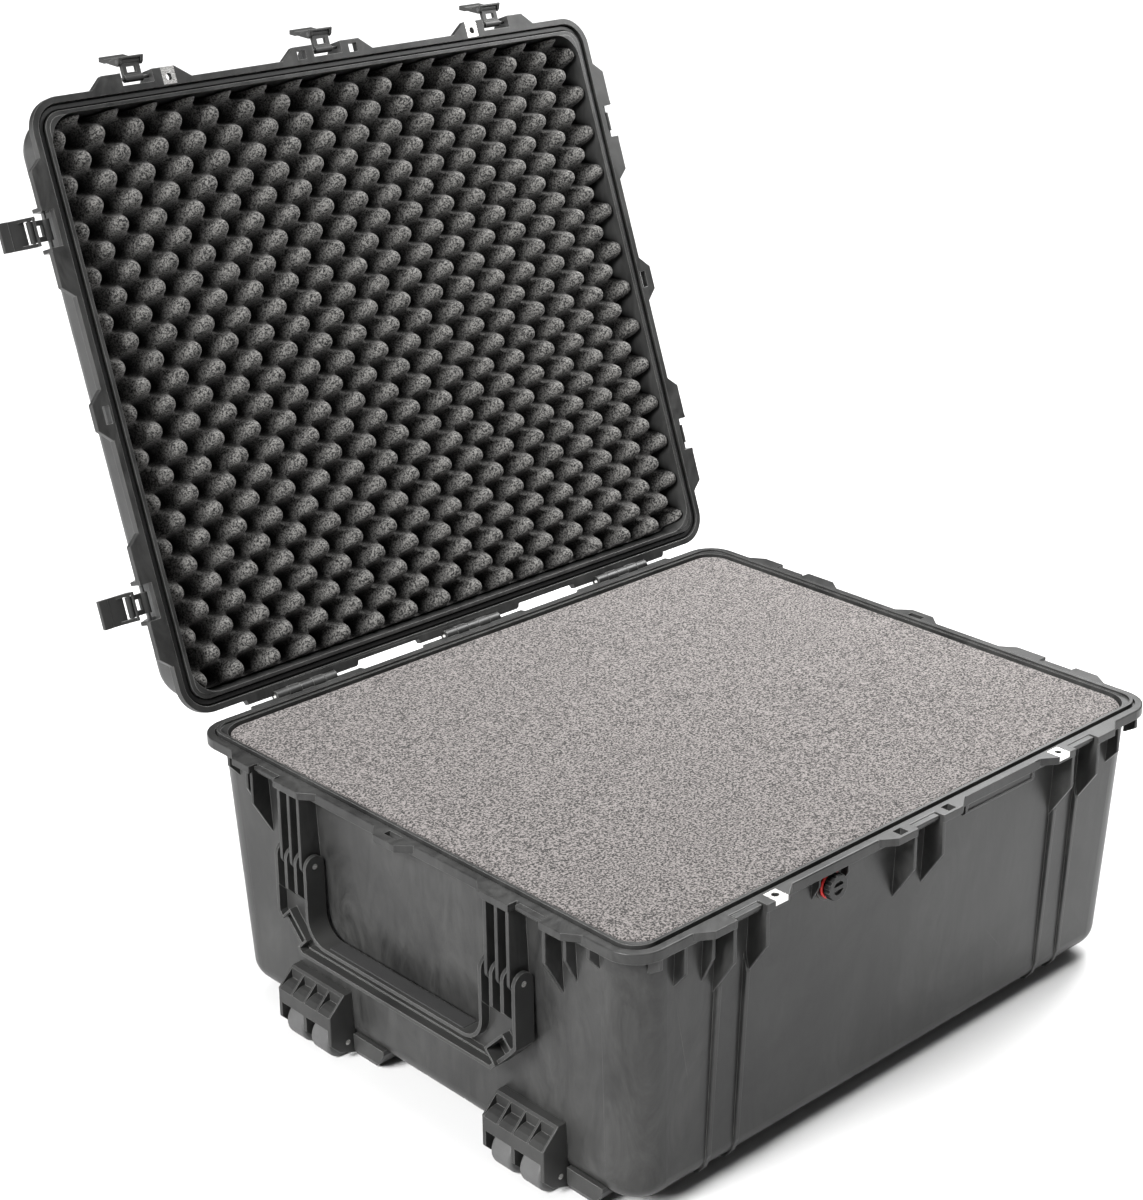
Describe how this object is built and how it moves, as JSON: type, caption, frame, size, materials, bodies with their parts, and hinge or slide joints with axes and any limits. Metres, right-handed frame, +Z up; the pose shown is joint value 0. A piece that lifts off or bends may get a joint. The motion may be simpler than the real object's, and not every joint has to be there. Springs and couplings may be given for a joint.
{
  "type": "hard equipment case",
  "caption": "Deep moulded equipment case with an open hinged lid, over-centre latches, folding end handles, wheels and foam inside both halves.",
  "frame": {"origin": "on the floor under the middle of the base shell's rim", "axes": "+X runs along the case away from the wheels, the latched front faces -Y, the hinges are at +Y, +Z up"},
  "size_m": [0.8815, 0.9848, 0.9928],
  "materials": {
    "shell_plastic": "moulded, fine satin with faint flow marks",
    "fitting_plastic": "moulded satin",
    "base_foam": "fine open-cell foam, light grey",
    "lid_foam": "convoluted open-cell foam, charcoal",
    "gasket_rubber": "matt",
    "stainless_steel": "bright satin",
    "valve_plastic": "satin",
    "valve_seal": "smooth red",
    "grip_rubber": "soft matt",
    "wheel_polyurethane": "hard satin"
  },
  "bodies": {
    "base": {"base_shell": "shell_plastic", "base_foam_bottom_pad": "base_foam", "base_foam_layer_lower": "base_foam", "base_foam_layer_middle": "base_foam", "base_foam_layer_upper": "base_foam", "purge_valve_body": "valve_plastic", "purge_valve_nut": "valve_plastic", "purge_valve_seal": "valve_seal", "padlock_plates_base": "stainless_steel", "hinge_pins": "stainless_steel", "handle_pins": "stainless_steel", "wheel_housing_rear": "fitting_plastic", "wheel_housing_front": "fitting_plastic", "wheel_axle_rear": "stainless_steel", "wheel_axle_front": "stainless_steel", "corner_skid_rear": "fitting_plastic", "corner_skid_front": "fitting_plastic"},
    "lid": {"lid_shell": "shell_plastic", "lid_gasket": "gasket_rubber", "lid_foam": "lid_foam", "padlock_plates_lid": "stainless_steel", "latch_link_pins": "stainless_steel"},
    "valve_knob": {"purge_valve_knob": "valve_plastic"},
    "left_handle": {"handle_left": "fitting_plastic", "handle_grip_left": "grip_rubber"},
    "right_handle": {"handle_right": "fitting_plastic", "handle_grip_right": "grip_rubber"},
    "wheel_rear_inner_body": {"wheel_rear_inner": "wheel_polyurethane"},
    "wheel_rear_outer_body": {"wheel_rear_outer": "wheel_polyurethane"},
    "wheel_front_inner_body": {"wheel_front_inner": "wheel_polyurethane"},
    "wheel_front_outer_body": {"wheel_front_outer": "wheel_polyurethane"},
    "link_front_left": {"latch_link_front_left": "fitting_plastic", "latch_lever_pin_front_left": "stainless_steel"},
    "lever_front_left": {"latch_lever_front_left": "fitting_plastic"},
    "link_front_middle": {"latch_link_front_middle": "fitting_plastic", "latch_lever_pin_front_middle": "stainless_steel"},
    "lever_front_middle": {"latch_lever_front_middle": "fitting_plastic"},
    "link_front_right": {"latch_link_front_right": "fitting_plastic", "latch_lever_pin_front_right": "stainless_steel"},
    "lever_front_right": {"latch_lever_front_right": "fitting_plastic"},
    "link_left_front": {"latch_link_left_front": "fitting_plastic", "latch_lever_pin_left_front": "stainless_steel"},
    "lever_left_front": {"latch_lever_left_front": "fitting_plastic"},
    "link_left_rear": {"latch_link_left_rear": "fitting_plastic", "latch_lever_pin_left_rear": "stainless_steel"},
    "lever_left_rear": {"latch_lever_left_rear": "fitting_plastic"},
    "link_right_front": {"latch_link_right_front": "fitting_plastic", "latch_lever_pin_right_front": "stainless_steel"},
    "lever_right_front": {"latch_lever_right_front": "fitting_plastic"},
    "link_right_rear": {"latch_link_right_rear": "fitting_plastic", "latch_lever_pin_right_rear": "stainless_steel"},
    "lever_right_rear": {"latch_lever_right_rear": "fitting_plastic"}
  },
  "joints": [
    {"name": "lid_hinge", "type": "hinge", "parent": "base", "child": "lid", "pos_m": [0, 0.348, 0.3142], "axis": [-1, 0, 0], "range_deg": [-109.4, 0]},
    {"name": "valve_knob_turn", "type": "hinge", "parent": "base", "child": "valve_knob", "pos_m": [-0.1275, -0.341, 0.285], "axis": [0, -1, 0], "range_deg": [0, 270]},
    {"name": "left_handle_swing", "type": "hinge", "parent": "base", "child": "left_handle", "pos_m": [-0.4, 0, 0.226], "axis": [0, 1, 0], "range_deg": [0, 95]},
    {"name": "right_handle_swing", "type": "hinge", "parent": "base", "child": "right_handle", "pos_m": [0.4, 0, 0.226], "axis": [0, -1, 0], "range_deg": [0, 95]},
    {"name": "wheel_rear_inner_roll", "type": "hinge", "parent": "base", "child": "wheel_rear_inner_body", "pos_m": [-0.3864, 0.13475, 0.0205], "axis": [0, 1, 0], "continuous": true},
    {"name": "wheel_rear_outer_roll", "type": "hinge", "parent": "base", "child": "wheel_rear_outer_body", "pos_m": [-0.3864, 0.17725, 0.0205], "axis": [0, 1, 0], "continuous": true},
    {"name": "wheel_front_inner_roll", "type": "hinge", "parent": "base", "child": "wheel_front_inner_body", "pos_m": [-0.3864, -0.15575, 0.0205], "axis": [0, 1, 0], "continuous": true},
    {"name": "wheel_front_outer_roll", "type": "hinge", "parent": "base", "child": "wheel_front_outer_body", "pos_m": [-0.3864, -0.19825, 0.0205], "axis": [0, 1, 0], "continuous": true},
    {"name": "front_left_link_swing", "type": "hinge", "parent": "lid", "child": "link_front_left", "pos_m": [-0.26, 0.58819, 0.96857], "axis": [-1, 0, 0], "range_deg": [-90, 0]},
    {"name": "front_left_lever_swing", "type": "hinge", "parent": "link_front_left", "child": "lever_front_left", "pos_m": [-0.26, 0.59467, 0.98696], "axis": [-1, 0, 0], "range_deg": [-68, 0]},
    {"name": "front_middle_link_swing", "type": "hinge", "parent": "lid", "child": "link_front_middle", "pos_m": [0, 0.58819, 0.96857], "axis": [-1, 0, 0], "range_deg": [-90, 0]},
    {"name": "front_middle_lever_swing", "type": "hinge", "parent": "link_front_middle", "child": "lever_front_middle", "pos_m": [0, 0.59467, 0.98696], "axis": [-1, 0, 0], "range_deg": [-68, 0]},
    {"name": "front_right_link_swing", "type": "hinge", "parent": "lid", "child": "link_front_right", "pos_m": [0.26, 0.58819, 0.96857], "axis": [-1, 0, 0], "range_deg": [-90, 0]},
    {"name": "front_right_lever_swing", "type": "hinge", "parent": "link_front_right", "child": "lever_front_right", "pos_m": [0.26, 0.59467, 0.98696], "axis": [-1, 0, 0], "range_deg": [-68, 0]},
    {"name": "left_front_link_swing", "type": "hinge", "parent": "lid", "child": "link_left_front", "pos_m": [-0.41, 0.54036, 0.83275], "axis": [0, -0.3322, -0.9432], "range_deg": [-90, 0]},
    {"name": "left_front_lever_swing", "type": "hinge", "parent": "link_left_front", "child": "lever_left_front", "pos_m": [-0.4295, 0.54036, 0.83275], "axis": [0, -0.3322, -0.9432], "range_deg": [0, 80]},
    {"name": "left_rear_link_swing", "type": "hinge", "parent": "lid", "child": "link_left_rear", "pos_m": [-0.41, 0.40418, 0.44603], "axis": [0, -0.3322, -0.9432], "range_deg": [-90, 0]},
    {"name": "left_rear_lever_swing", "type": "hinge", "parent": "link_left_rear", "child": "lever_left_rear", "pos_m": [-0.4295, 0.40418, 0.44603], "axis": [0, -0.3322, -0.9432], "range_deg": [0, 80]},
    {"name": "right_front_link_swing", "type": "hinge", "parent": "lid", "child": "link_right_front", "pos_m": [0.41, 0.54036, 0.83275], "axis": [0, 0.3322, 0.9432], "range_deg": [-180, 0]},
    {"name": "right_front_lever_swing", "type": "hinge", "parent": "link_right_front", "child": "lever_right_front", "pos_m": [0.41, 0.55876, 0.82627], "axis": [0, 0.3322, 0.9432], "range_deg": [0, 18]},
    {"name": "right_rear_link_swing", "type": "hinge", "parent": "lid", "child": "link_right_rear", "pos_m": [0.41, 0.40418, 0.44603], "axis": [0, 0.3322, 0.9432], "range_deg": [-180, 0]},
    {"name": "right_rear_lever_swing", "type": "hinge", "parent": "link_right_rear", "child": "lever_right_rear", "pos_m": [0.41, 0.42257, 0.43955], "axis": [0, 0.3322, 0.9432], "range_deg": [0, 18]}
  ]
}
